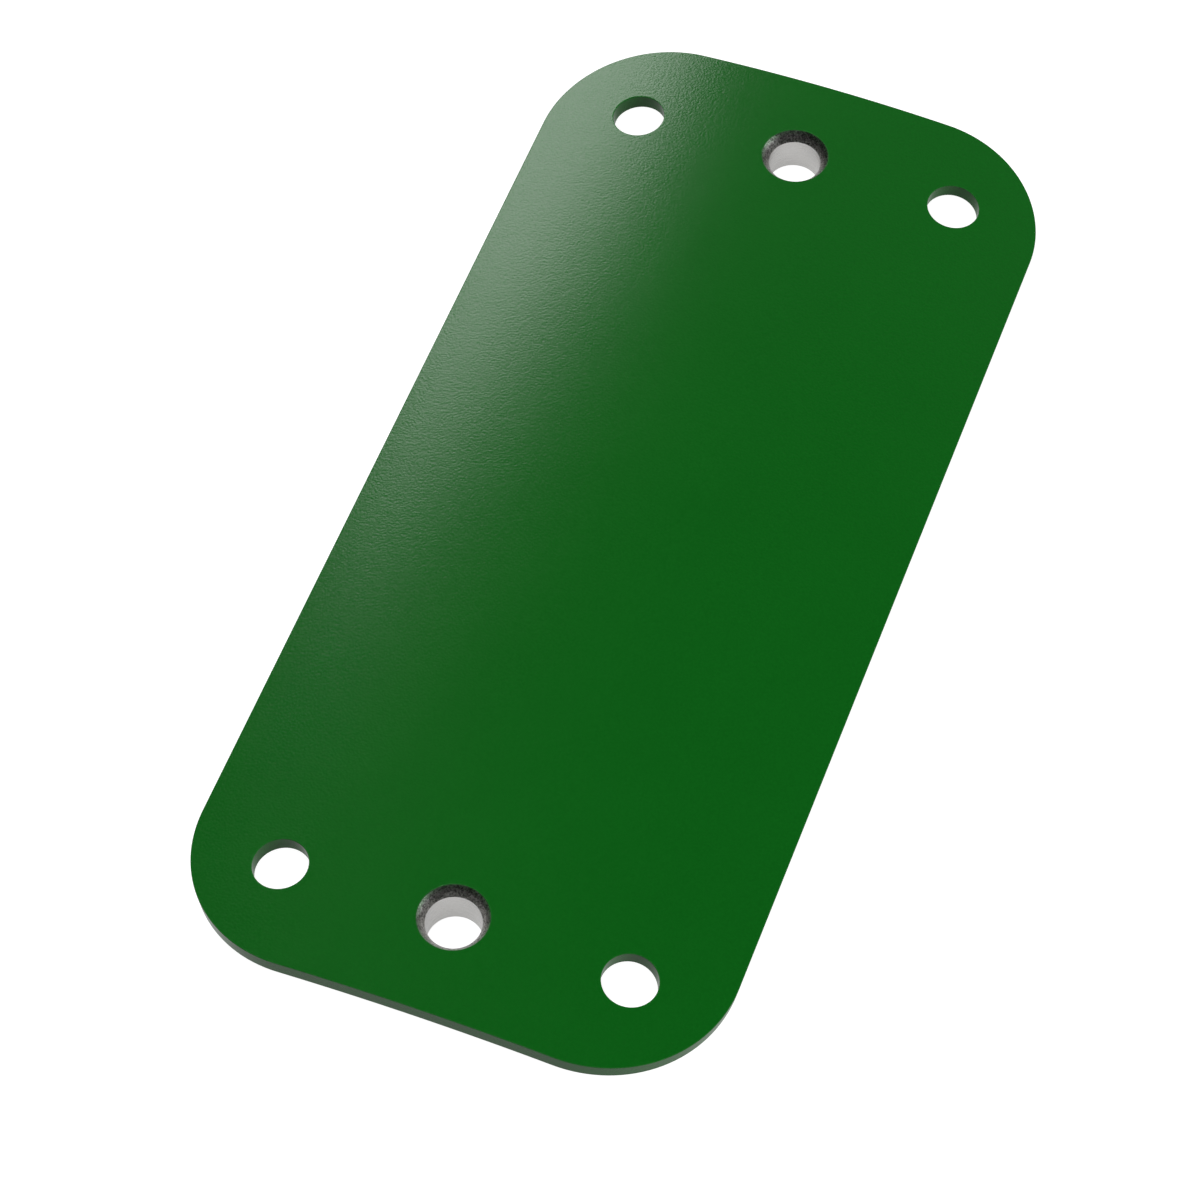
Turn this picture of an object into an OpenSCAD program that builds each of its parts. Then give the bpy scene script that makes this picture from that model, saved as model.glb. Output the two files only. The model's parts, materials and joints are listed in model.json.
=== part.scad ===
// Reinforcement shield: a sheet steel plate with rounded corners, gently rolled about its long
// axis with the crown upwards. Plain bolt holes at the corners stand square to the rolled face.
// Two sleeves on the centre line are pressed in flush with the crown, have a countersunk mouth,
// and stand out below the plate, which rests on them.
// Frame: X across the width, Y along the length, Z up. The origin is under the middle of the
// plate, level with the lower ends of the sleeves.

/* [Plate] */
// Length along the straight sides
plate_length = 280; // [200:5:400]
// Width of the flat blank, kept round the outer face once it is rolled
plate_width = 130; // [110:2:180]
// Sheet thickness
plate_thickness = 4; // [2:0.5:6]
// Radius of the rounded corners
corner_radius = 32; // [16:1:48]
// Radius of the rolled outer face
roll_radius = 430; // [300:10:1200]

/* [Bolt holes] */
// Diameter of the corner holes
hole_diameter = 13; // [8:0.5:16]
// Corner hole centre to the long side, round the outer face
side_margin = 23; // [18:1:30]
// Hole and sleeve centres to the short end
end_margin = 24; // [20:1:40]

/* [Sleeves] */
// Outer diameter of a sleeve
sleeve_diameter = 17; // [16:0.5:22]
// Diameter of the bore through a sleeve
bore_diameter = 13; // [8:0.5:13.5]
// Length of a sleeve, from the crown to its lower end
sleeve_length = 12; // [10:0.5:30]
// Depth of the countersunk mouth
mouth_depth = 2.6; // [0.5:0.1:4]
// Width of the flat rim left outside the mouth
rim_width = 0.12; // [0.1:0.02:0.6]
// Chamfer on the outer edge of the lower end
foot_chamfer = 0.5; // [0.2:0.1:0.6]
// Broken edge of the bore at the lower end
bore_chamfer = 0.25; // [0.1:0.05:0.4]
// Radial gap between a sleeve and its seat in the plate
seat_clearance = 0; // [0:0.02:0.2]

/* [Hidden] */
$fn = 128;
// Facets of the full circle that the rolled faces are a part of
roll_facets = 1080;

coat_colour = "#0f5917";
steel_colour = "#b1afac";

// How far a cutter runs past the face that it opens
overrun = 1;

crown_z = sleeve_length;
half_width = plate_width / 2;
half_length = plate_length / 2;
hole_u = half_width - side_margin;
hole_y = half_length - end_margin;
// Angle from the crown to a long side, seen from the roll's axis
side_angle = roll_angle(half_width);

// Angle about the roll's axis for a distance u round the outer face
function roll_angle(u) = u / roll_radius * 180 / PI;

// Puts children on the outer face, u round from the crown, with +Z square to the face
module on_face(u) {
    translate([0, 0, crown_z - roll_radius])
        rotate([0, roll_angle(u), 0])
            translate([0, 0, roll_radius])
                children();
}

// The sheet once it is rolled, longer and wider than the blank
module rolled_sheet() {
    translate([0, 0, crown_z - roll_radius])
        rotate([90, 0, 0])
            linear_extrude(height = plate_length + 2 * overrun, center = true)
                intersection() {
                    difference() {
                        circle(r = roll_radius, $fn = roll_facets);
                        circle(r = roll_radius - plate_thickness, $fn = roll_facets);
                    }
                    translate([-plate_width, 0])
                        square([2 * plate_width, roll_radius + overrun]);
                }
}

// Outline of the blank with its right side on x = 0. Only that side's corners are rounded,
// and the outline runs on to the left, past the plate's other side.
module right_outline() {
    corner_y = half_length - corner_radius;
    far_left = -plate_width - overrun;
    translate([far_left, -half_length])
        square([-corner_radius - far_left, plate_length]);
    translate([far_left, -corner_y])
        square([-far_left, 2 * corner_y]);
    for (y = [-corner_y, corner_y])
        translate([-corner_radius, y]) circle(r = corner_radius);
}

// Block whose right side wall and rounded corners stand square to the rolled face there
module right_block() {
    fall_to_left_side = roll_radius * (1 - cos(2 * side_angle));
    depth = fall_to_left_side + plate_thickness + overrun;
    on_face(half_width)
        translate([0, 0, -depth])
            linear_extrude(height = depth + overrun)
                right_outline();
}

// The rolled sheet between its two sides, each with its own pair of corners
module rolled_blank() {
    intersection() {
        rolled_sheet();
        right_block();
        mirror([1, 0, 0]) right_block();
    }
}

module at_each_corner() {
    for (across = [0, 1], along = [0, 1])
        mirror([across, 0, 0])
            mirror([0, along, 0])
                children();
}

module bolt_hole() {
    on_face(hole_u)
        translate([0, hole_y, -plate_thickness - overrun])
            cylinder(d = hole_diameter, h = plate_thickness + 2 * overrun);
}

module sleeve_seat(end) {
    translate([0, end * hole_y, crown_z - plate_thickness - overrun])
        cylinder(d = sleeve_diameter + 2 * seat_clearance, h = plate_thickness + 2 * overrun);
}

module plate() {
    color(coat_colour)
        difference() {
            rolled_blank();
            at_each_corner() bolt_hole();
            for (end = [-1, 1]) sleeve_seat(end);
        }
}

// A sleeve turned about its own axis, from its lower end at 0 to its mouth
module sleeve() {
    outer = sleeve_diameter / 2;
    bore = bore_diameter / 2;
    color(steel_colour)
        rotate_extrude()
            polygon([
                [bore + bore_chamfer, 0],
                [outer - foot_chamfer, 0],
                [outer, foot_chamfer],
                [outer, sleeve_length],
                [outer - rim_width, sleeve_length],
                [bore, sleeve_length - mouth_depth],
                [bore, bore_chamfer],
            ]);
}

module sleeve_front() {
    translate([0, -hole_y, 0]) sleeve();
}

module sleeve_rear() {
    translate([0, hole_y, 0]) sleeve();
}

plate();
sleeve_front();
sleeve_rear();
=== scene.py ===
# Reinforcement shield: a gently rolled, powder coated steel plate with four bolt holes and two
# bare turned sleeves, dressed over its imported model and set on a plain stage.
import json
import math
from typing import NamedTuple

import bmesh
import bpy
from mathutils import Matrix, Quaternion, Vector


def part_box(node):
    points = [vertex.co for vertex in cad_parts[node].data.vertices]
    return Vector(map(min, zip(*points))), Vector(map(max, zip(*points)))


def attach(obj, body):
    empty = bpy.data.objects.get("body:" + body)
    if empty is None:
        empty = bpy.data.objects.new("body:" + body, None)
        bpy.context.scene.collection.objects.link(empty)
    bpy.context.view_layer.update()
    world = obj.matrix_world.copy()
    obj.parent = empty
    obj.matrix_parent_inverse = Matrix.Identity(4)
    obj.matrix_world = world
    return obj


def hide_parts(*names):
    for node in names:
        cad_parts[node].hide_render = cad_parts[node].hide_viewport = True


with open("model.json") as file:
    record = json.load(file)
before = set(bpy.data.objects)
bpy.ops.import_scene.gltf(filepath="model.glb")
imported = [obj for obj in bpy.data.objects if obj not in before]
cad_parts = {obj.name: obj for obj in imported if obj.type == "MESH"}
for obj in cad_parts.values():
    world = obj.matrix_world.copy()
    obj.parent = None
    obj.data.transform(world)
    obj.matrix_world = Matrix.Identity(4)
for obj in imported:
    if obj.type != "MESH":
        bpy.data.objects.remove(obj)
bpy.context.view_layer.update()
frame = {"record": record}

bl_info = {
    "name": "Reinforcement Shield",
    "version": (1, 0, 0),
    "blender": (4, 5, 0),
    "location": "3D View > Sidebar > Shield",
    "description": "Builds a rolled and coated shield plate, its two sleeves and a plain stage",
    "category": "Object",
}

MM = 0.001
BODY = "root"

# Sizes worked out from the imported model: the plate's box, its corner holes and its sleeves
MOUNTS = {mount["name"]: mount for mount in frame["record"]["mounts"]}
PLATE_LOW, PLATE_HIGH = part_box("plate")
SLEEVE_LOW, SLEEVE_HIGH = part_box("sleeve_rear")
CORNER_HOLE = MOUNTS["hole_rear_right"]
SLEEVE_BORE = MOUNTS["sleeve_bore_rear"]
SLEEVE_FOOT = MOUNTS["sleeve_foot_rear"]

THICKNESS = CORNER_HOLE["dims"]["length_mm"] * MM
HOLE_TILT = math.asin(CORNER_HOLE["axis"][0])
ROLL_RADIUS = CORNER_HOLE["pos_m"][0] / math.sin(HOLE_TILT) + THICKNESS / 2
HOLE_DIAMETER = 2 * CORNER_HOLE["dims"]["r_mm"] * MM
HOLE_ACROSS = ROLL_RADIUS * HOLE_TILT
HOLE_ALONG = CORNER_HOLE["pos_m"][1]
PLATE_LENGTH = PLATE_HIGH.y - PLATE_LOW.y
PLATE_WIDTH = 2 * ROLL_RADIUS * math.asin(PLATE_HIGH.x / ROLL_RADIUS)
CROWN_HEIGHT = PLATE_HIGH.z

SLEEVE_DIAMETER = SLEEVE_HIGH.x - SLEEVE_LOW.x
SLEEVE_LENGTH = SLEEVE_HIGH.z - SLEEVE_LOW.z
BORE_DIAMETER = 2 * SLEEVE_BORE["dims"]["r_mm"] * MM
BORE_MIDDLE = SLEEVE_BORE["pos_m"][2]
BORE_STRAIGHT = SLEEVE_BORE["dims"]["length_mm"] * MM
BORE_CHAMFER = BORE_MIDDLE - BORE_STRAIGHT / 2
MOUTH_DEPTH = SLEEVE_LENGTH - BORE_MIDDLE - BORE_STRAIGHT / 2
FOOT_INNER = BORE_DIAMETER / 2 + BORE_CHAMFER
FOOT_OUTER = 2 * SLEEVE_FOOT["pos_m"][0] - FOOT_INNER
FOOT_CHAMFER = SLEEVE_DIAMETER / 2 - FOOT_OUTER


def length(name, description, default):
    """A property that holds a length in metres."""
    return bpy.props.FloatProperty(
        name=name, description=description, default=default, min=0.0, precision=5, unit="LENGTH")


def angle(name, description, degrees):
    """A property that holds an angle."""
    return bpy.props.FloatProperty(
        name=name, description=description, default=math.radians(degrees), subtype="ANGLE")


def share(name, description, default):
    """A property that holds a share from 0 to 1."""
    return bpy.props.FloatProperty(
        name=name, description=description, default=default, min=0.0, max=1.0, subtype="FACTOR")


def strength(name, description, default):
    """A property that holds a light's brightness."""
    return bpy.props.FloatProperty(name=name, description=description, default=default, min=0.0)


def colour(name, description, default):
    """A property that holds a colour."""
    return bpy.props.FloatVectorProperty(
        name=name, description=description, default=default, min=0.0, max=1.0, size=3,
        subtype="COLOR")


class ShieldPlateSizes(bpy.types.PropertyGroup):
    """Sizes of the rolled plate."""

    width: length("Width", "Width of the flat blank, kept round the outer face", PLATE_WIDTH)
    length: length("Length", "Length along the straight sides", PLATE_LENGTH)
    thickness: length("Thickness", "Thickness of the sheet", THICKNESS)
    corner_radius: length("Corner radius", "Radius of the rounded corners", 32 * MM)
    roll_radius: length("Roll radius", "Radius of the rolled outer face", ROLL_RADIUS)
    crown_height: length(
        "Crown height", "Height of the crown over the sleeves' lower ends", CROWN_HEIGHT)
    hole_diameter: length("Hole diameter", "Diameter of the corner holes", HOLE_DIAMETER)
    hole_across: length(
        "Hole across", "Corner hole centre from the crown, round the face", HOLE_ACROSS)
    hole_along: length(
        "Hole along", "Hole and sleeve centres from the middle of the length", HOLE_ALONG)
    edge_softness: length("Edge softness", "Radius that the coat gives the edges", 0.15 * MM)
    seat_softness: length("Seat softness", "Radius of the edges round the sleeves", 0.03 * MM)


class ShieldSleeveSizes(bpy.types.PropertyGroup):
    """Sizes of the two turned sleeves."""

    outer_diameter: length(
        "Outer diameter", "Outer diameter of a sleeve and its seat", SLEEVE_DIAMETER)
    bore_diameter: length("Bore diameter", "Diameter of the bore", BORE_DIAMETER)
    length: length("Length", "Length from the crown to the lower end", SLEEVE_LENGTH)
    mouth_depth: length("Mouth depth", "Depth of the countersunk mouth", MOUTH_DEPTH)
    rim_width: length("Rim width", "Width of the flat rim outside the mouth", 0.12 * MM)
    mouth_turn: angle(
        "Mouth turn", "How far each end of the mouth's slope turns from a straight cone", 4)
    mouth_curve: length("Mouth curve", "Radius of the curve halfway down the mouth", 3.6 * MM)
    foot_chamfer: length(
        "Foot chamfer", "Chamfer on the outer edge of the lower end", FOOT_CHAMFER)
    bore_chamfer: length(
        "Bore chamfer", "Broken edge of the bore at the lower end", BORE_CHAMFER)
    edge_softness: length("Edge softness", "Radius of the turned edges", 0.04 * MM)
    bore_softness: length(
        "Bore softness", "Radius of the edge between the mouth and the bore", 0.12 * MM)


class ShieldFinishes(bpy.types.PropertyGroup):
    """Colours, gloss and grain of the two finishes."""

    coat_colour: colour("Coat colour", "Colour of the powder coat", (0.0034, 0.0985, 0.0070))
    coat_roughness: share("Coat roughness", "Roughness of the satin coat", 0.19)
    coat_tint: colour("Coat tint", "Tint of what the coat mirrors", (0.94, 1.0, 0.945))
    coat_gloss: share("Coat gloss", "Strength of what the coat mirrors", 0.25)
    coat_grain: length("Coat grain", "Width of one grain of the coat", 0.55 * MM)
    coat_reach: length(
        "Coat reach", "How far the coat runs from the rim into a mouth", 0.1 * MM)
    stain_reach: length(
        "Stain reach", "How far the coat stains the steel inside a mouth", 0.95 * MM)
    stain_colour: colour(
        "Stain colour", "Colour of the steel where the coat stains it", (0.50, 0.72, 0.51))
    steel_colour: colour("Steel colour", "Colour of the bare steel", (0.70, 0.69, 0.675))
    bore_roughness: share("Bore roughness", "Roughness of the finely turned bore", 0.28)
    mouth_roughness: share("Mouth roughness", "Roughness of the countersunk mouth", 0.37)
    steel_grain: length("Steel grain", "Width of one grain of the turned steel", 0.34 * MM)


class ShieldStageSettings(bpy.types.PropertyGroup):
    """Camera, lights and floor of the stage."""

    lens: bpy.props.FloatProperty(
        name="Lens", description="Focal length on a sensor 36 mm wide", default=120.0, min=1.0)
    camera_azimuth: angle(
        "Camera azimuth", "Turn of the camera from the front end towards +X", 20.777)
    camera_elevation: angle("Camera elevation", "Height of the camera over the horizon", 57.02)
    camera_roll: angle("Camera roll", "Turn of the camera about its own view", -0.203)
    camera_distance: length("Camera distance", "From the camera to what it aims at", 934.1 * MM)
    floor_colour: colour("Floor colour", "Colour of the plain floor", (0.25, 0.25, 0.25))
    floor_glow: strength("Floor glow", "Light of the floor itself, as the camera sees it", 1.0)
    floor_bounce: strength(
        "Floor bounce", "Light of the floor itself, as it reaches the part", 0.52)
    key_light: strength("Key light", "Radiance of the softbox that gives the sheen", 11.1)
    top_light: strength("Top light", "Radiance of the softbox overhead", 7.0)
    right_light: strength("Right light", "Radiance of the softbox at the right", 7.0)
    front_light: strength("Front light", "Radiance of the dim screen over the camera", 0.1)
    back_light: strength(
        "Back light", "Radiance of the broad dim screen behind the part", 0.24)
    side_light: strength("Side light", "Radiance of the low screen at the right", 0.7)
    surroundings: strength("Surroundings", "Radiance of the room's dim walls", 0.01)


class Term:
    """A number that a node tree works out. Arithmetic on it adds Math nodes to the tree."""

    def __init__(self, wiring, socket):
        self.wiring = wiring
        self.socket = socket

    def __add__(self, other):
        return self.wiring.maths("ADD", self, other)

    def __radd__(self, other):
        return self.wiring.maths("ADD", other, self)

    def __sub__(self, other):
        return self.wiring.maths("SUBTRACT", self, other)

    def __rsub__(self, other):
        return self.wiring.maths("SUBTRACT", other, self)

    def __mul__(self, other):
        return self.wiring.maths("MULTIPLY", self, other)

    def __rmul__(self, other):
        return self.wiring.maths("MULTIPLY", other, self)

    def __truediv__(self, other):
        return self.wiring.maths("DIVIDE", self, other)

    def __rtruediv__(self, other):
        return self.wiring.maths("DIVIDE", other, self)

    def __neg__(self):
        return self.wiring.maths("MULTIPLY", self, -1.0)

    def within(self, low, high):
        """The number, kept from low to high."""
        raised = self.wiring.maths("MAXIMUM", self, low)
        return self.wiring.maths("MINIMUM", raised, high)


class Wiring:
    """Adds nodes to one node tree and links them."""

    # Nodes are laid out in columns, so that an opened tree can be read
    COLUMN_ROWS = 7
    COLUMN_WIDTH = 220
    ROW_HEIGHT = 190

    def __init__(self, tree):
        self.tree = tree

    def feed(self, socket, value):
        """Links a term or a socket to an input, or sets the input to a plain value."""
        if isinstance(value, Term):
            value = value.socket
        if isinstance(value, bpy.types.NodeSocket):
            self.tree.links.new(value, socket)
        else:
            socket.default_value = value

    def node(self, kind, inputs=None, **settings):
        """Adds a node, with its settings and its inputs by name or by place."""
        made = self.tree.nodes.new(kind)
        column, row = divmod(len(self.tree.nodes) - 1, self.COLUMN_ROWS)
        made.location = (column * self.COLUMN_WIDTH, -row * self.ROW_HEIGHT)
        for name, value in settings.items():
            setattr(made, name, value)
        for name, value in (inputs or {}).items():
            self.feed(made.inputs[name], value)
        return made

    def maths(self, operation, *values):
        node = self.node("ShaderNodeMath", dict(enumerate(values)), operation=operation)
        return Term(self, node.outputs[0])

    def vector_maths(self, operation, *values):
        node = self.node("ShaderNodeVectorMath", dict(enumerate(values)), operation=operation)
        return node.outputs["Vector"]

    def distance(self, first, second):
        node = self.node("ShaderNodeVectorMath", {0: first, 1: second}, operation="DISTANCE")
        return Term(self, node.outputs["Value"])

    def vector(self, x, y, z=0.0):
        return self.node("ShaderNodeCombineXYZ", {"X": x, "Y": y, "Z": z}).outputs[0]

    def parts(self, vector):
        """The three numbers of a vector."""
        node = self.node("ShaderNodeSeparateXYZ", {0: vector})
        return [Term(self, output) for output in node.outputs]

    def noise(self, vector, scale, detail, roughness):
        """A smooth noise from 0 to 1."""
        node = self.node(
            "ShaderNodeTexNoise",
            {"Vector": vector, "Scale": scale, "Detail": detail, "Roughness": roughness})
        return Term(self, node.outputs[0])

    def group(self, tree, inputs=None):
        """Adds a node that runs another tree."""
        kind = "GeometryNodeGroup" if tree.bl_idname == "GeometryNodeTree" else "ShaderNodeGroup"
        return self.node(kind, inputs, node_tree=tree)


class GroupWiring(Wiring):
    """Wiring for a new node group, with its inputs and outputs."""

    def __init__(self, name, kind, inputs, outputs):
        super().__init__(bpy.data.node_groups.new(name, kind))
        for direction, sockets in (("INPUT", inputs), ("OUTPUT", outputs)):
            for label, socket_type in sockets.items():
                self.tree.interface.new_socket(
                    name=label, in_out=direction, socket_type="NodeSocket" + socket_type)
        self.entry = self.node("NodeGroupInput")
        self.exit = self.node("NodeGroupOutput")

    def given(self, name):
        return Term(self, self.entry.outputs[name])

    def give(self, name, value):
        self.feed(self.exit.inputs[name], value)


# How many pieces each stretch of the plate's mesh is cut into
END_COLUMNS = 8
HOLE_COLUMNS = 16
HOLE_ROWS = 16
SIDE_ROWS = 7
CORNER_STEPS = 32
CORNER_COLUMNS = 5
WEB_RINGS = 7
MIDDLE_ROWS = 14
RIM_STEPS = 4
# A band on each side of the soft edge's own rings, and then the wall
RIM_RINGS = RIM_STEPS + 3
# Over 1, the rings of a web lie closer together near the rim
RING_CROWDING = 1.6
# A point nearer to a hole's centre than its radius times this is on the hole's rim
RIM_REACH = 1.2
# Bands of this width hold the shading of the faces beside a soft edge
HOLDING_BAND = 0.12 * MM
MERGE_DISTANCE = 0.001 * MM


def web_tree():
    """A face of rings between the rim of a hole and one stretch of the border round it."""
    wiring = GroupWiring(
        "Web", "GeometryNodeTree",
        {"Border": "Geometry", "Centre": "Vector", "Rim Radius": "Float", "Columns": "Int"},
        {"Mesh": "Geometry"})
    columns = wiring.given("Columns")
    grid = wiring.node(
        "GeometryNodeMeshGrid", {"Vertices X": columns + 1, "Vertices Y": WEB_RINGS + 1})
    index = Term(wiring, wiring.node("GeometryNodeInputIndex").outputs[0])
    column = wiring.maths("FLOOR", (index + 0.5) / (WEB_RINGS + 1))
    ring = index - column * (WEB_RINGS + 1)
    border = wiring.node(
        "GeometryNodeSampleCurve", {"Curves": wiring.given("Border"), "Factor": column / columns},
        mode="FACTOR").outputs["Position"]
    outwards = wiring.vector_maths("SUBTRACT", border, wiring.given("Centre"))
    spoke = wiring.vector_maths("NORMALIZE", outwards)
    rim = wiring.vector_maths(
        "MULTIPLY_ADD", spoke, wiring.given("Rim Radius"), wiring.given("Centre"))
    inwards = 1 - wiring.maths("POWER", 1 - ring / WEB_RINGS, RING_CROWDING)
    reach = wiring.vector_maths("SUBTRACT", rim, border)
    place = wiring.vector_maths("MULTIPLY_ADD", reach, inwards, border)
    moved = wiring.node(
        "GeometryNodeSetPosition", {"Geometry": grid.outputs["Mesh"], "Position": place})
    stored = wiring.node(
        "GeometryNodeStoreNamedAttribute",
        {"Geometry": moved.outputs[0], "Name": "hold", "Value": inwards})
    wiring.give("Mesh", stored.outputs[0])
    return wiring.tree


def mirror_tree():
    """A mesh and its mirror image, joined where they meet."""
    wiring = GroupWiring(
        "Mirror And Merge", "GeometryNodeTree",
        {"Mesh": "Geometry", "Scale": "Vector", "Shift": "Vector"}, {"Mesh": "Geometry"})
    image = wiring.node(
        "GeometryNodeTransform",
        {"Geometry": wiring.given("Mesh"), "Scale": wiring.given("Scale"),
         "Translation": wiring.given("Shift")})
    turned = wiring.node("GeometryNodeFlipFaces", {"Mesh": image.outputs[0]})
    both = wiring.node("GeometryNodeJoinGeometry", {"Geometry": wiring.given("Mesh")})
    wiring.feed(both.inputs["Geometry"], turned.outputs[0])
    merged = wiring.node(
        "GeometryNodeMergeByDistance", {"Geometry": both.outputs[0], "Distance": MERGE_DISTANCE})
    wiring.give("Mesh", merged.outputs[0])
    return wiring.tree


PLATE_INPUTS = (
    "Width", "Length", "Thickness", "Corner Radius", "Roll Radius", "Crown Height",
    "Hole Diameter", "Hole Across", "Hole Along", "Seat Diameter",
    "Edge Softness", "Seat Softness")


class PlateTree(GroupWiring):
    """The rolled plate: a quarter of the flat face, mirrored, given its rims and rolled."""

    def __init__(self):
        inputs = {name: "Float" for name in PLATE_INPUTS}
        inputs["Material"] = "Material"
        super().__init__("Rolled Plate", "GeometryNodeTree", inputs, {"Mesh": "Geometry"})
        self.web = web_tree()
        self.mirror = mirror_tree()
        soft = self.given("Edge Softness")
        self.inset = soft + HOLDING_BAND
        self.seat_inset = self.given("Seat Softness") + HOLDING_BAND
        self.side = self.given("Width") / 2 - self.inset
        self.end = self.given("Length") / 2 - self.inset
        self.corner_across = self.given("Width") / 2 - self.given("Corner Radius")
        self.corner_along = self.given("Length") / 2 - self.given("Corner Radius")
        self.hole_across = self.given("Hole Across")
        self.hole_along = self.given("Hole Along")
        self.split_across = self.hole_across / 2
        self.split_along = 2 * self.hole_along - self.given("Length") / 2
        self.hole_radius = self.given("Hole Diameter") / 2
        self.seat_radius = self.given("Seat Diameter") / 2
        self.hole = self.vector(self.hole_across, self.hole_along)
        self.seat = self.vector(0.0, self.hole_along)
        face = self.mirrored(self.quarter_face(), (-1, 1, 1))
        face = self.mirrored(face, (1, -1, 1))
        upper_half = self.with_rims(face)
        thickness = self.given("Thickness")
        flat = self.mirrored(upper_half, (1, 1, -1), self.vector(0.0, 0.0, -thickness))
        self.finish_tree(self.rolled(flat))

    def mirrored(self, mesh, scale, shift=(0, 0, 0)):
        group = self.group(self.mirror, {"Mesh": mesh, "Scale": scale, "Shift": shift})
        return group.outputs[0]

    def line(self, start, end):
        node = self.node(
            "GeometryNodeCurvePrimitiveLine",
            {"Start": self.vector(*start), "End": self.vector(*end)})
        return node.outputs[0]

    def corner_arc(self):
        """The rounded corner of the face, from the long side to the short end."""
        arc = self.node(
            "GeometryNodeCurveArc",
            {"Resolution": CORNER_STEPS + 1, "Radius": self.given("Corner Radius") - self.inset,
             "Start Angle": 0.0, "Sweep Angle": math.pi / 2},
            mode="RADIUS")
        centre = self.vector(self.corner_across, self.corner_along)
        moved = self.node(
            "GeometryNodeTransform", {"Geometry": arc.outputs["Curve"], "Translation": centre})
        return moved.outputs[0]

    def webs(self, centre, rim_radius, stretches):
        """One web for each stretch of border round a hole, given anticlockwise."""
        for border, columns in stretches:
            node = self.group(
                self.web,
                {"Border": border, "Centre": centre, "Rim Radius": rim_radius, "Columns": columns})
            yield node.outputs[0]

    def middle(self, start, stop, columns):
        """A plain grid from the middle of the plate to the webs."""
        grid = self.node(
            "GeometryNodeMeshGrid",
            {"Size X": stop - start, "Size Y": self.split_along,
             "Vertices X": columns + 1, "Vertices Y": MIDDLE_ROWS + 1})
        centre = self.vector((start + stop) / 2, self.split_along / 2)
        moved = self.node(
            "GeometryNodeTransform", {"Geometry": grid.outputs["Mesh"], "Translation": centre})
        return moved.outputs[0]

    def quarter_face(self):
        """The quarter of the flat outer face that has the rear right hole, without its rims."""
        inner = (self.split_across, self.split_along)
        inner_end = (self.split_across, self.end)
        side = (self.side, self.split_along)
        join = self.line(inner_end, inner)
        joined_back = self.line(inner, inner_end)
        hole_webs = self.webs(self.hole, self.hole_radius + self.inset, (
            (self.line(inner, side), HOLE_COLUMNS),
            (self.line(side, (self.side, self.corner_along)), SIDE_ROWS),
            (self.corner_arc(), CORNER_STEPS),
            (self.line((self.corner_across, self.end), inner_end), CORNER_COLUMNS),
            (join, HOLE_ROWS),
        ))
        seat_webs = self.webs(self.seat, self.seat_radius + self.seat_inset, (
            (self.line((0.0, self.split_along), inner), END_COLUMNS),
            (joined_back, HOLE_ROWS),
            (self.line(inner_end, (0.0, self.end)), END_COLUMNS),
        ))
        middles = (
            self.middle(0.0, self.split_across, END_COLUMNS),
            self.middle(self.split_across, self.side, HOLE_COLUMNS),
        )
        joined = self.node("GeometryNodeJoinGeometry")
        for mesh in (*hole_webs, *seat_webs, *middles):
            self.feed(joined.inputs["Geometry"], mesh)
        merged = self.node(
            "GeometryNodeMergeByDistance",
            {"Geometry": joined.outputs[0], "Distance": MERGE_DISTANCE})
        return merged.outputs[0]

    def switched(self, test, off, on):
        """The vector or number on where test is 1, and off where it is 0."""
        kind = "VECTOR" if isinstance(off, bpy.types.NodeSocket) else "FLOAT"
        node = self.node(
            "GeometryNodeSwitch", {"Switch": test, "False": off, "True": on}, input_type=kind)
        return node.outputs[0] if kind == "VECTOR" else Term(self, node.outputs[0])

    def stored(self, mesh, name, value, kind="FLOAT", selection=True):
        node = self.node(
            "GeometryNodeStoreNamedAttribute",
            {"Geometry": mesh, "Name": name, "Value": value, "Selection": selection},
            data_type=kind)
        return node.outputs[0]

    def attribute(self, name, kind="FLOAT"):
        node = self.node("GeometryNodeInputNamedAttribute", {"Name": name}, data_type=kind)
        return node.outputs[0] if kind == "FLOAT_VECTOR" else Term(self, node.outputs[0])

    def with_rims(self, face):
        """Adds soft edges and the upper half of the walls to every border of the face."""
        place = self.node("GeometryNodeInputPosition").outputs[0]
        folded = self.vector_maths("ABSOLUTE", place)
        side_of = self.vector_maths("SIGN", place)
        at_seat = self.maths(
            "LESS_THAN", self.distance(folded, self.seat), self.seat_radius * RIM_REACH)
        at_hole = self.maths(
            "LESS_THAN", self.distance(folded, self.hole), self.hole_radius * RIM_REACH)
        corner = self.vector(self.corner_across, self.corner_along)
        nearest = self.vector_maths("MINIMUM", folded, corner)
        outwards = self.vector_maths("SUBTRACT", folded, nearest)
        into_hole = self.vector_maths("SUBTRACT", self.hole, folded)
        outwards = self.switched(at_hole, outwards, into_hole)
        into_seat = self.vector_maths("SUBTRACT", self.seat, folded)
        outwards = self.switched(at_seat, outwards, into_seat)
        outwards = self.vector_maths("NORMALIZE", outwards)
        outwards = self.vector_maths("MULTIPLY", outwards, side_of)
        softness = self.switched(
            at_seat, self.given("Edge Softness"), self.given("Seat Softness"))
        face = self.stored(face, "outwards", outwards, "FLOAT_VECTOR")
        face = self.stored(face, "softness", softness)

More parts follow.
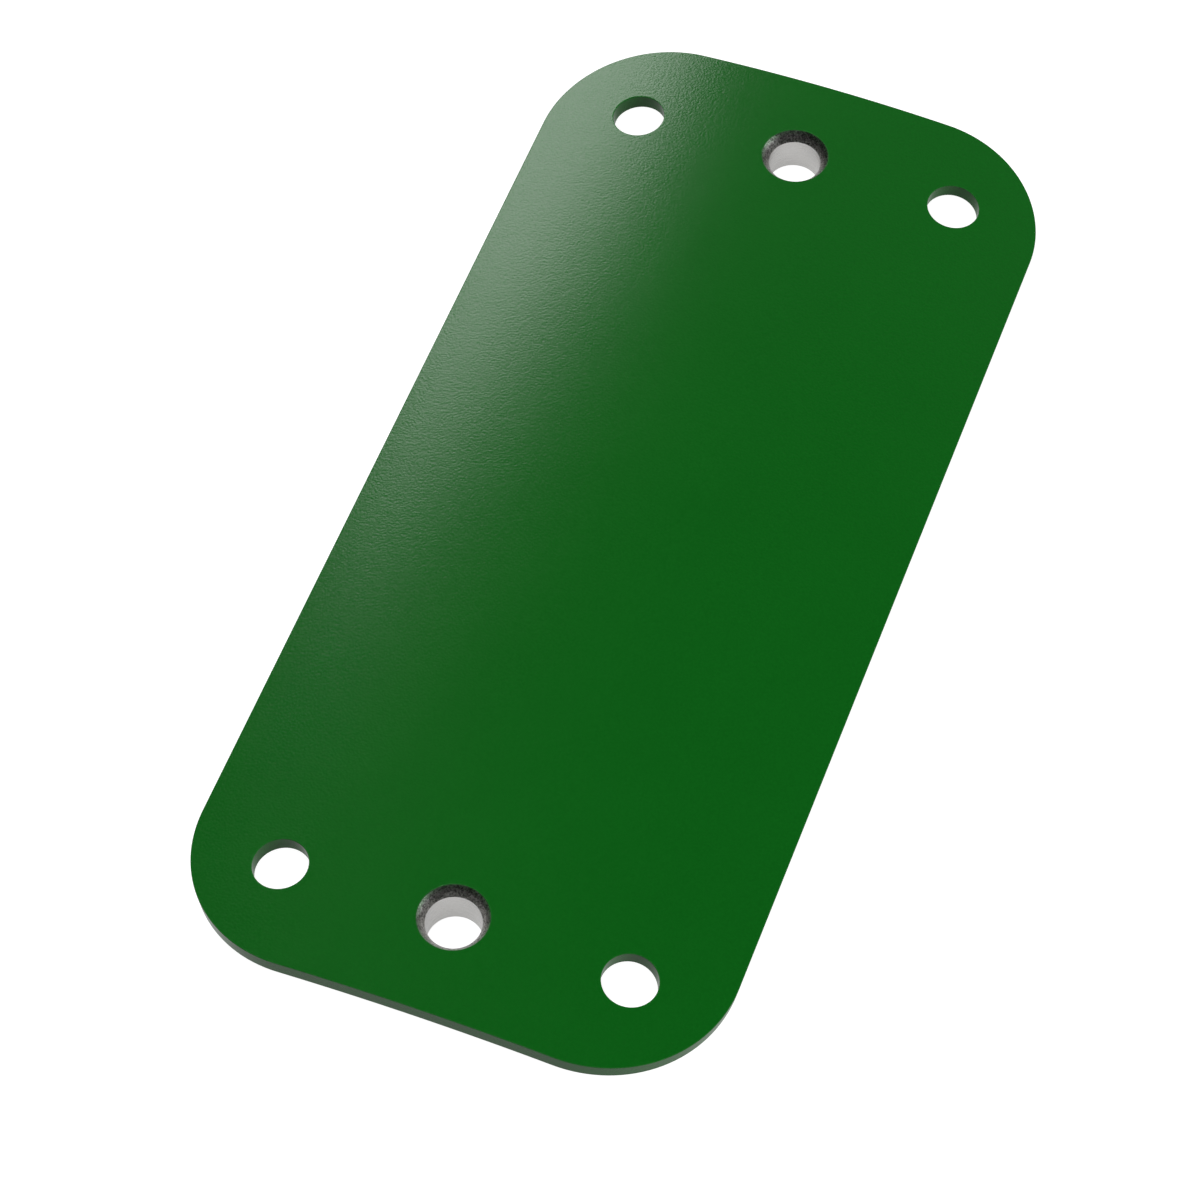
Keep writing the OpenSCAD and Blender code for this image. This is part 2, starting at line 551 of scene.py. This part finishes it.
        # Each pass grows one ring of faces from the open border, still without any width
        first = self.node("GeometryNodeRepeatInput")
        last = self.node("GeometryNodeRepeatOutput")
        first.pair_with_output(last)
        self.feed(first.inputs["Iterations"], RIM_RINGS)
        self.feed(first.inputs["Geometry"], face)
        neighbours = Term(self, self.node("GeometryNodeInputMeshEdgeNeighbors").outputs[0])
        grown = self.node(
            "GeometryNodeExtrudeMesh",
            {"Mesh": first.outputs["Geometry"], "Offset Scale": 0.0,
             "Selection": self.maths("LESS_THAN", neighbours, 2)},
            mode="EDGES")
        iteration = Term(self, first.outputs["Iteration"])
        counted = self.stored(
            grown.outputs["Mesh"], "ring", iteration + 1, selection=grown.outputs["Top"])
        self.feed(last.inputs["Geometry"], counted)

        # Then each ring goes to its place on the soft edge or the wall
        ring = self.attribute("ring")
        softness = self.attribute("softness")
        turn = (ring - 1).within(0, RIM_STEPS) * (math.pi / 2 / RIM_STEPS)
        out = ring.within(0, 1) * HOLDING_BAND + softness * self.maths("SINE", turn)
        straight = self.given("Thickness") / 2 - softness - HOLDING_BAND
        down = softness * (1 - self.maths("COSINE", turn))
        down = down + (ring - (RIM_STEPS + 1)).within(0, 1) * HOLDING_BAND
        down = down + (ring - (RIM_STEPS + 2)).within(0, 1) * straight
        offset = self.vector_maths("MULTIPLY", self.attribute("outwards", "FLOAT_VECTOR"), out)
        offset = self.vector_maths("ADD", offset, self.vector(0.0, 0.0, -down))
        placed = self.node(
            "GeometryNodeSetPosition", {"Geometry": last.outputs["Geometry"], "Offset": offset})
        on_edge = self.maths("GREATER_THAN", ring, 0)
        on_edge = on_edge * self.maths("LESS_THAN", ring, RIM_STEPS + 2)
        return self.stored(placed.outputs[0], "edge", on_edge)

    def rolled(self, flat):
        """Rolls the flat blank about an axis along Y. Holes stay straight all the way through."""
        across, along, height = self.parts(self.node("GeometryNodeInputPosition").outputs[0])
        roll_radius = self.given("Roll Radius")
        radius = roll_radius + height
        beyond = self.maths("GREATER_THAN", self.maths("ABSOLUTE", across), self.split_across)
        centre = beyond * self.hole_across * self.maths("SIGN", across)
        spread = 1 + self.attribute("hold") * (roll_radius / radius - 1)
        turn = (centre + (across - centre) * spread) / roll_radius
        x = radius * self.maths("SINE", turn)
        z = self.given("Crown Height") - roll_radius + radius * self.maths("COSINE", turn)
        placed = self.node(
            "GeometryNodeSetPosition", {"Geometry": flat, "Position": self.vector(x, along, z)})
        return placed.outputs[0]

    def finish_tree(self, mesh):
        for name in ("outwards", "softness", "ring", "hold"):
            without = self.node("GeometryNodeRemoveAttribute", {"Geometry": mesh, "Name": name})
            mesh = without.outputs[0]
        mesh = self.node("GeometryNodeSetShadeSmooth", {"Geometry": mesh}).outputs[0]
        mesh = self.node("GeometryNodeRealizeInstances", {"Geometry": mesh}).outputs[0]
        last = self.node(
            "GeometryNodeSetMaterial", {"Geometry": mesh, "Material": self.given("Material")})
        self.give("Mesh", last.outputs[0])


def add_object(name, data):
    made = bpy.data.objects.new(name, data)
    bpy.context.scene.collection.objects.link(made)
    return made


def built_by_nodes(name, tree, values):
    """A plain mesh object made by a geometry node tree, whose modifier is gone again."""
    piece = add_object(name, bpy.data.meshes.new(name + "_seed"))
    modifier = piece.modifiers.new("Build", "NODES")
    modifier.node_group = tree
    for item in tree.interface.items_tree:
        if item.item_type == "SOCKET" and item.in_out == "INPUT" and item.name in values:
            modifier[item.identifier] = values[item.name]
    depsgraph = bpy.context.evaluated_depsgraph_get()
    evaluated = piece.evaluated_get(depsgraph)
    mesh = bpy.data.meshes.new_from_object(
        evaluated, preserve_all_data_layers=True, depsgraph=depsgraph)
    piece.modifiers.clear()
    piece.data = mesh
    mesh.name = name
    return piece


def check_closed(mesh):
    """Turns the faces outwards, and raises an error if the mesh has a gap."""
    work = bmesh.new()
    work.from_mesh(mesh)
    bmesh.ops.recalc_face_normals(work, faces=work.faces)
    open_edges = [edge for edge in work.edges if not edge.is_manifold]
    volume = work.calc_volume(signed=True)
    work.to_mesh(mesh)
    work.free()
    if open_edges or volume <= 0:
        raise RuntimeError(f"{mesh.name}: {len(open_edges)} open edges, volume {volume}")


def finished(piece, node):
    """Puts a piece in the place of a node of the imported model."""
    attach(piece, BODY)
    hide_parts(node)


# Past each end of a rounded corner, this share of its tangent holds the shading beside it
HOLDING_SHARE = 0.5
SLEEVE_SEGMENTS = 128


def softened(corners, steps):
    """A closed outline with rounded corners. Each corner is its radius, height and softness."""
    places = [Vector(corner[:2]) for corner in corners]
    points = []
    for place, (corner, (*_, softness)) in enumerate(zip(places, corners)):
        before = places[place - 1] - corner
        after = places[(place + 1) % len(places)] - corner
        opening = before.angle(after)
        tangent = softness / math.tan(opening / 2)
        start = corner + before.normalized() * tangent
        end = corner + after.normalized() * tangent
        inwards = (before.normalized() + after.normalized()).normalized()
        centre = corner + inwards * softness / math.sin(opening / 2)
        points.append(start + (start - corner) * HOLDING_SHARE)
        sweep = (start - centre).angle_signed(end - centre)
        for step in range(steps + 1):
            arm = start - centre
            turn = -sweep * step / steps
            points.append(centre + Vector((
                arm.x * math.cos(turn) - arm.y * math.sin(turn),
                arm.x * math.sin(turn) + arm.y * math.cos(turn))))
        points.append(end + (end - corner) * HOLDING_SHARE)
    return points


def turned_mesh(name, outline, along, marks):
    """Turns an outline about the upright axis at that place. marks gives each point's masks."""
    mesh = bpy.data.meshes.new(name)
    vertices = []
    faces = []
    count = len(outline)
    for segment in range(SLEEVE_SEGMENTS):
        turn = 2 * math.pi * segment / SLEEVE_SEGMENTS
        following = (segment + 1) % SLEEVE_SEGMENTS
        for place, (radius, height) in enumerate(outline):
            vertices.append((radius * math.cos(turn), along + radius * math.sin(turn), height))
            beside = (place + 1) % count
            faces.append((
                segment * count + place, following * count + place,
                following * count + beside, segment * count + beside))
    mesh.from_pydata(vertices, [], faces)
    mesh.polygons.foreach_set("use_smooth", [True] * len(faces))
    lathe = mesh.attributes.new("lathe", "FLOAT_VECTOR", "POINT")
    run = 0.0
    for place, point in enumerate(outline):
        run += (point - outline[place - 1]).length
        for segment in range(SLEEVE_SEGMENTS):
            turn = 2 * math.pi * segment / SLEEVE_SEGMENTS
            lathe.data[segment * count + place].vector = (math.cos(turn), math.sin(turn), run)
    for mask in ("mouth", "slope"):
        layer = mesh.attributes.new(mask, "FLOAT", "POINT")
        values = [marks(point)[mask] for point in outline]
        layer.data.foreach_set("value", values * SLEEVE_SEGMENTS)
    return mesh


# How often the slow swell and the mottle repeat, against the fine grain
SWELL_RATE = 0.14
MOTTLE_RATE = 0.02


def grain_group():
    """Fine grain over a slow swell as a height, a mottled tone about 1, and loose grains."""
    wiring = GroupWiring(
        "Grain", "ShaderNodeTree",
        {"Vector": "Vector", "Grain Size": "Float", "Swell": "Float", "Mottle": "Float"},
        {"Height": "Float", "Tone": "Float", "Speck": "Float"})
    size = wiring.given("Grain Size")
    vector = wiring.given("Vector")
    fine = wiring.noise(vector, 1 / size, 0.0, 0.5)
    swell = wiring.noise(vector, SWELL_RATE / size, 1.0, 0.5)
    mottle = wiring.noise(vector, MOTTLE_RATE / size, 2.0, 0.5)
    amount = wiring.given("Swell")
    wiring.give("Height", fine * (1 - amount) + swell * amount)
    wiring.give("Tone", 1 + (mottle + fine * 2 - 1.5) * wiring.given("Mottle"))
    # Each grain has a random lightness of its own
    cells = wiring.node("ShaderNodeTexVoronoi", {"Vector": vector, "Scale": 1 / size})
    wiring.give("Speck", wiring.parts(cells.outputs["Color"])[0])
    return wiring.tree


def new_material(name):
    """A material with a Principled shader, and the wiring of its nodes."""
    material = bpy.data.materials.new(name)
    material.use_nodes = True
    wiring = Wiring(material.node_tree)
    shader = material.node_tree.nodes["Principled BSDF"]
    return material, wiring, shader


# Sockets of a Mix node that mixes colours
MIX_FACTOR = 0
MIX_FIRST = 6
MIX_SECOND = 7
MIX_RESULT = 2


def mixed(wiring, factor, first, second):
    """A colour between two others."""
    node = wiring.node(
        "ShaderNodeMix", {MIX_FACTOR: factor, MIX_FIRST: first, MIX_SECOND: second},
        data_type="RGBA")
    return node.outputs[MIX_RESULT]


def scaled(wiring, colour_value, tone):
    """A colour made lighter or darker."""
    node = wiring.node(
        "ShaderNodeMix", {MIX_FACTOR: 1.0, MIX_FIRST: colour_value, MIX_SECOND: tone},
        data_type="RGBA", blend_type="MULTIPLY")
    return node.outputs[MIX_RESULT]


def bumped(wiring, height, depth):
    """The surface's normal over a height of that depth."""
    node = wiring.node("ShaderNodeBump", {"Height": height, "Distance": depth, "Strength": 1.0})
    return node.outputs[0]


# Depth of the coat's grain, and how much its tone changes the roughness
COAT_RELIEF = 0.021 * MM
COAT_UNEVENNESS = 0.3
# The paler coat over the edges: how much lighter it is, and how much of it there is
PALE_GAIN = 1.25
PALE_LIFT = 0.01
PALE_SHARE = 0.6


def coat_material(finishes, grain):
    """Satin green powder coat with an even fine grain, a little paler over the edges."""
    material, wiring, shader = new_material("green_powder_coat")
    place = wiring.node("ShaderNodeTexCoord").outputs["Object"]
    texture = wiring.group(
        grain, {"Vector": place, "Grain Size": finishes.coat_grain, "Swell": 0.2, "Mottle": 0.09})
    edge = Term(wiring, wiring.node("ShaderNodeAttribute", attribute_name="edge").outputs["Fac"])
    base = (*finishes.coat_colour, 1.0)
    pale = [min(1.0, PALE_GAIN * part + PALE_LIFT) for part in finishes.coat_colour]
    coat = mixed(wiring, edge * PALE_SHARE, base, (*pale, 1.0))
    wiring.feed(shader.inputs["Base Color"], scaled(wiring, coat, texture.outputs["Tone"]))
    tone = Term(wiring, texture.outputs["Tone"])
    roughness = finishes.coat_roughness + (tone - 1) * COAT_UNEVENNESS
    wiring.feed(shader.inputs["Roughness"], roughness)
    relief = bumped(wiring, texture.outputs["Height"], COAT_RELIEF)
    wiring.feed(shader.inputs["Normal"], relief)
    shader.inputs["Specular IOR Level"].default_value = finishes.coat_gloss
    shader.inputs["Specular Tint"].default_value = (*finishes.coat_tint, 1.0)
    return material


# Over this width the coat ends in the mouth
COAT_FADE = 0.05 * MM
# How ragged the stain's edge is
STAIN_RAGGEDNESS = 0.6
# Turning marks: how close they lie, how far they drift round the axis, and how much they show
# in the height, the colour and the roughness
RINGS_PER_METRE = 9000.0
RING_DRIFT = 0.7
BORE_RING_HEIGHT = 0.2
MOUTH_RING_HEIGHT = 0.1
RING_SHADE = 0.12
RING_ROUGHNESS = 0.1
# Loose grains in the mouth: how far the lightest is over the steel's own tone, and how far the
# darkest is under the lightest
GRAIN_LIGHTEST = 0.48
GRAIN_RANGE = 1.1
# Depth of the marks and grains together
STEEL_RELIEF = 0.012 * MM


def steel_material(finishes, grain):
    """Bare turned steel: a fine bore, and a rough grainy mouth with coat over its rim."""
    material, wiring, shader = new_material("bare_turned_steel")
    lathe = wiring.node("ShaderNodeAttribute", attribute_name="lathe").outputs["Vector"]
    mouth = Term(wiring, wiring.node("ShaderNodeAttribute", attribute_name="mouth").outputs["Fac"])
    slope = Term(wiring, wiring.node("ShaderNodeAttribute", attribute_name="slope").outputs["Fac"])
    place = wiring.node("ShaderNodeTexCoord").outputs["Object"]
    texture = wiring.group(
        grain, {"Vector": place, "Grain Size": finishes.steel_grain, "Swell": 0.1, "Mottle": 0.3})
    # Turning marks: thin rings round the axis that fade in and out along the way
    around, beside, run = wiring.parts(lathe)
    along = wiring.vector(around * RING_DRIFT, beside * RING_DRIFT, run * RINGS_PER_METRE)
    rings = wiring.noise(along, 1.0, 2.0, 0.6)
    tone = Term(wiring, texture.outputs["Tone"])
    height = Term(wiring, texture.outputs["Height"])
    speck = Term(wiring, texture.outputs["Speck"])
    ring_height = BORE_RING_HEIGHT - mouth * (BORE_RING_HEIGHT - MOUTH_RING_HEIGHT)
    marks = rings * ring_height + (height + speck) * mouth
    grains = tone - 1 + GRAIN_LIGHTEST - speck * GRAIN_RANGE
    shade = 1 + (rings - 0.5) * RING_SHADE + grains * mouth
    covered = ((finishes.coat_reach - slope) / COAT_FADE + height).within(0, 1)
    # Past its edge the coat leaves a stain that fades out down the slope
    ragged = (height - 0.5) * STAIN_RAGGEDNESS * mouth
    stain = (1 - slope / finishes.stain_reach + ragged).within(0, 1)
    steel = mixed(wiring, stain, (*finishes.steel_colour, 1.0), (*finishes.stain_colour, 1.0))
    steel = scaled(wiring, steel, shade)
    base = mixed(wiring, covered, steel, (*finishes.coat_colour, 1.0))
    wiring.feed(shader.inputs["Base Color"], base)
    wiring.feed(shader.inputs["Metallic"], 1 - covered)
    rougher = finishes.mouth_roughness - finishes.bore_roughness
    roughness = finishes.bore_roughness + mouth * rougher + (rings - 0.5) * RING_ROUGHNESS
    wiring.feed(shader.inputs["Roughness"], roughness)
    wiring.feed(shader.inputs["Normal"], bumped(wiring, marks, STEEL_RELIEF))
    return material


# Facing is 0 for a ray straight down and 1 at the horizon. From BOUNCE_END on, the part gets
# none of the floor's own light, which fades over BOUNCE_FADE before that
BOUNCE_END = 0.97
BOUNCE_FADE = 0.45


def floor_material(stage):
    """Plain pale floor with an even glow, clear from below so that the underside can be seen."""
    material, wiring, shader = new_material("pale_floor")
    shader.inputs["Base Color"].default_value = (*stage.floor_colour, 1.0)
    shader.inputs["Roughness"].default_value = 1.0
    shader.inputs["Specular IOR Level"].default_value = 0.0
    shader.inputs["Emission Color"].default_value = (1.0, 1.0, 1.0, 1.0)
    seen = Term(wiring, wiring.node("ShaderNodeLightPath").outputs["Is Camera Ray"])
    # The camera sees the floor evenly bright, and for the part it dims towards the horizon
    weight = wiring.node("ShaderNodeLayerWeight", {"Blend": 0.5})
    facing = Term(wiring, weight.outputs["Facing"])
    bounce = stage.floor_bounce * ((BOUNCE_END - facing) / BOUNCE_FADE).within(0, 1)
    glow = bounce + seen * (stage.floor_glow - bounce)
    wiring.feed(shader.inputs["Emission Strength"], glow)
    below = wiring.node("ShaderNodeNewGeometry").outputs["Backfacing"]
    clear = wiring.node("ShaderNodeBsdfTransparent")
    choice = wiring.node(
        "ShaderNodeMixShader", {0: below, 1: shader.outputs[0], 2: clear.outputs[0]})
    output = material.node_tree.nodes["Material Output"]
    wiring.feed(output.inputs["Surface"], choice.outputs[0])
    return material


def ready(name, make, *values):
    """The material or tree of that name, made only once."""
    for store in (bpy.data.materials, bpy.data.node_groups):
        if name in store:
            return store[name]
    return make(*values)


class SHIELD_OT_plate(bpy.types.Operator):
    """Builds the rolled and coated plate"""

    bl_idname = "shield.plate"
    bl_label = "Rolled Plate"

    def execute(self, context):
        sizes = context.scene.shield_plate
        sleeve = context.scene.shield_sleeves
        finishes = context.scene.shield_finishes
        grain = ready("Grain", grain_group)
        values = {
            "Width": sizes.width,
            "Length": sizes.length,
            "Thickness": sizes.thickness,
            "Corner Radius": sizes.corner_radius,
            "Roll Radius": sizes.roll_radius,
            "Crown Height": sizes.crown_height,
            "Hole Diameter": sizes.hole_diameter,
            "Hole Across": sizes.hole_across,
            "Hole Along": sizes.hole_along,
            "Seat Diameter": sleeve.outer_diameter,
            "Edge Softness": sizes.edge_softness,
            "Seat Softness": sizes.seat_softness,
            "Material": ready("green_powder_coat", coat_material, finishes, grain),
        }
        piece = built_by_nodes("rolled_plate", PlateTree().tree, values)
        check_closed(piece.data)
        finished(piece, "plate")
        return {"FINISHED"}


class SHIELD_OT_sleeves(bpy.types.Operator):
    """Builds the two turned sleeves"""

    bl_idname = "shield.sleeves"
    bl_label = "Turned Sleeves"

    EDGE_STEPS = 4
    # How far from the rim the surfaces below the mouth count as being
    FAR_OFF = 20 * MM

    def outline(self, sizes):
        """Section of a sleeve, from the bore's lower end round the outside to its mouth."""
        outer = sizes.outer_diameter / 2
        bore = sizes.bore_diameter / 2
        rim = outer - sizes.rim_width
        floor = sizes.length - sizes.mouth_depth
        soft = sizes.edge_softness
        # The mouth's slope bends inwards a little, halfway from the rim to the bore
        way = Vector((bore - rim, floor - sizes.length))
        bend = Vector((rim, sizes.length)) + way / 2
        bend += Vector((way.y, -way.x)) / 2 * math.tan(sizes.mouth_turn)
        corners = [
            (bore + sizes.bore_chamfer, 0.0, soft),
            (outer - sizes.foot_chamfer, 0.0, soft),
            (outer, sizes.foot_chamfer, soft),
            (outer, sizes.length, soft),
            (rim, sizes.length, soft),
            (*bend, sizes.mouth_curve),
            (bore, floor, sizes.bore_softness),
            (bore, sizes.bore_chamfer, soft),
        ]
        return softened(corners, self.EDGE_STEPS)

    def execute(self, context):
        sizes = context.scene.shield_sleeves
        finishes = context.scene.shield_finishes
        grain = ready("Grain", grain_group)
        material = ready("bare_turned_steel", steel_material, finishes, grain)
        outline = self.outline(sizes)
        bore = sizes.bore_diameter / 2
        rim = sizes.outer_diameter / 2 - sizes.rim_width
        mouth_floor = sizes.length - sizes.mouth_depth

        def marks(point):
            """The mouth's mask on its slope, and the way inwards from the rim."""
            radius, height = point
            on_top = radius > bore and height > mouth_floor
            on_slope = on_top and radius < rim
            slope = rim - radius if on_top else self.FAR_OFF
            return {"mouth": float(on_slope), "slope": slope}

        for node, end in (("sleeve_front", -1), ("sleeve_rear", 1)):
            name = "turned_" + node
            along = end * context.scene.shield_plate.hole_along
            mesh = turned_mesh(name, outline, along, marks)
            mesh.materials.append(material)
            check_closed(mesh)
            finished(add_object(name, mesh), node)
        return {"FINISHED"}


class Softbox(NamedTuple):
    """Where a softbox stands in degrees and metres, its width and height, and its setting."""

    azimuth: float
    elevation: float
    distance: float
    size: tuple
    setting: str
    mirrored: bool = True


class SHIELD_OT_stage(bpy.types.Operator):
    """Sets up the floor, the lights and the camera"""

    bl_idname = "shield.stage"
    bl_label = "Stage"

    # Two softboxes light the part evenly, and only the others are mirrored in it
    SOFTBOXES = {
        "key_softbox": Softbox(215.1, 40.5, 5.9, (1.19, 1.16), "key_light"),
        "top_softbox": Softbox(255, 73, 3.0, (1.8, 1.8), "top_light", mirrored=False),
        "right_softbox": Softbox(85, 20, 2.5, (1.2, 1.2), "right_light", mirrored=False),
        "front_screen": Softbox(35, 50, 2.5, (2.6, 1.6), "front_light"),
        "back_screen": Softbox(180, 27, 5.0, (8.0, 5.0), "back_light"),
        "side_screen": Softbox(109, 12, 3.0, (2.4, 1.2), "side_light"),
    }
    SENSOR_WIDTH = 36.0
    FLOOR_RADIUS = 4.0
    FLOOR_SEGMENTS = 96
    FLOOR_GAP = 0.02 * MM
    # What the camera aims at, on the plate near the middle of its crown
    AIM = Vector((0.955, -25.997, 12.0)) * MM
    # What the lights aim at
    CENTRE = Vector((0.0, 0.0, 10.0)) * MM

    def direction(self, azimuth, elevation):
        """Unit vector from the part, with azimuth 0 from the front end and 90 degrees at +X."""
        return Vector((
            math.sin(azimuth) * math.cos(elevation),
            -math.cos(azimuth) * math.cos(elevation),
            math.sin(elevation)))

    def add_floor(self, stage):
        mesh = bpy.data.meshes.new("floor")
        work = bmesh.new()
        bmesh.ops.create_circle(
            work, cap_ends=True, segments=self.FLOOR_SEGMENTS, radius=self.FLOOR_RADIUS)
        for vertex in work.verts:
            vertex.co.z = -self.FLOOR_GAP
        work.to_mesh(mesh)
        work.free()
        mesh.materials.append(floor_material(stage))
        add_object("floor", mesh)

    def add_softbox(self, name, box, radiance):
        """A rectangular softbox that faces the part. Radiance is its own brightness."""
        width, height = box.size
        lamp = bpy.data.lights.new(name, "AREA")
        lamp.shape = "RECTANGLE"
        lamp.size = width
        lamp.size_y = height
        lamp.energy = radiance * math.pi * width * height
        made = add_object(name, lamp)
        made.visible_glossy = box.mirrored
        away = self.direction(math.radians(box.azimuth), math.radians(box.elevation))
        made.location = self.CENTRE + away * box.distance
        made.rotation_mode = "QUATERNION"
        made.rotation_quaternion = (-away).to_track_quat("-Z", "Y")

    def add_camera(self, stage):
        data = bpy.data.cameras.new("camera")
        data.lens = stage.lens
        data.sensor_width = self.SENSOR_WIDTH
        camera = add_object("camera", data)
        away = self.direction(stage.camera_azimuth, stage.camera_elevation)
        camera.location = self.AIM + away * stage.camera_distance
        camera.rotation_mode = "QUATERNION"
        roll = Quaternion((0.0, 0.0, 1.0), stage.camera_roll)
        camera.rotation_quaternion = (-away).to_track_quat("-Z", "Y") @ roll
        bpy.context.scene.camera = camera

    def add_surroundings(self, stage):
        """A dim room round the part, seen by the camera as pale as the floor."""
        world = bpy.data.worlds.new("room")
        world.use_nodes = True
        bpy.context.scene.world = world
        wiring = Wiring(world.node_tree)
        walls = world.node_tree.nodes["Background"]
        walls.inputs["Color"].default_value = (1.0, 1.0, 1.0, 1.0)
        seen = Term(wiring, wiring.node("ShaderNodeLightPath").outputs["Is Camera Ray"])
        brightness = stage.surroundings + seen * (1 - stage.surroundings)
        wiring.feed(walls.inputs["Strength"], brightness)

    def execute(self, context):
        stage = context.scene.shield_stage
        self.add_floor(stage)
        for name, box in self.SOFTBOXES.items():
            self.add_softbox(name, box, getattr(stage, box.setting))
        self.add_surroundings(stage)
        self.add_camera(stage)
        view = context.scene.view_settings
        view.view_transform = "Standard"
        view.look = "None"
        return {"FINISHED"}


class SHIELD_PT_sidebar(bpy.types.Panel):
    """Lists the shield's settings and the operators that build it"""

    bl_idname = "SHIELD_PT_sidebar"
    bl_label = "Reinforcement Shield"
    bl_space_type = "VIEW_3D"
    bl_region_type = "UI"
    bl_category = "Shield"

    SECTIONS = (
        ("Plate", "shield_plate", "shield.plate"),
        ("Sleeves", "shield_sleeves", "shield.sleeves"),
        ("Finishes", "shield_finishes", None),
        ("Stage", "shield_stage", "shield.stage"),
    )

    def draw(self, context):
        for title, name, operator in self.SECTIONS:
            box = self.layout.box()
            box.label(text=title)
            settings = getattr(context.scene, name)
            for field in settings.__annotations__:
                box.prop(settings, field)
            if operator:
                box.operator(operator)


SETTINGS = {
    "shield_plate": ShieldPlateSizes,
    "shield_sleeves": ShieldSleeveSizes,
    "shield_finishes": ShieldFinishes,
    "shield_stage": ShieldStageSettings,
}
CLASSES = (
    *SETTINGS.values(), SHIELD_OT_plate, SHIELD_OT_sleeves, SHIELD_OT_stage, SHIELD_PT_sidebar)


def register():
    for made in CLASSES:
        bpy.utils.register_class(made)
    for name, group in SETTINGS.items():
        setattr(bpy.types.Scene, name, bpy.props.PointerProperty(type=group))


def unregister():
    for name in SETTINGS:
        delattr(bpy.types.Scene, name)
    for made in reversed(CLASSES):
        bpy.utils.unregister_class(made)


def main():
    register()
    bpy.ops.shield.plate()
    bpy.ops.shield.sleeves()
    bpy.ops.shield.stage()


if __name__ == "__main__":
    main()
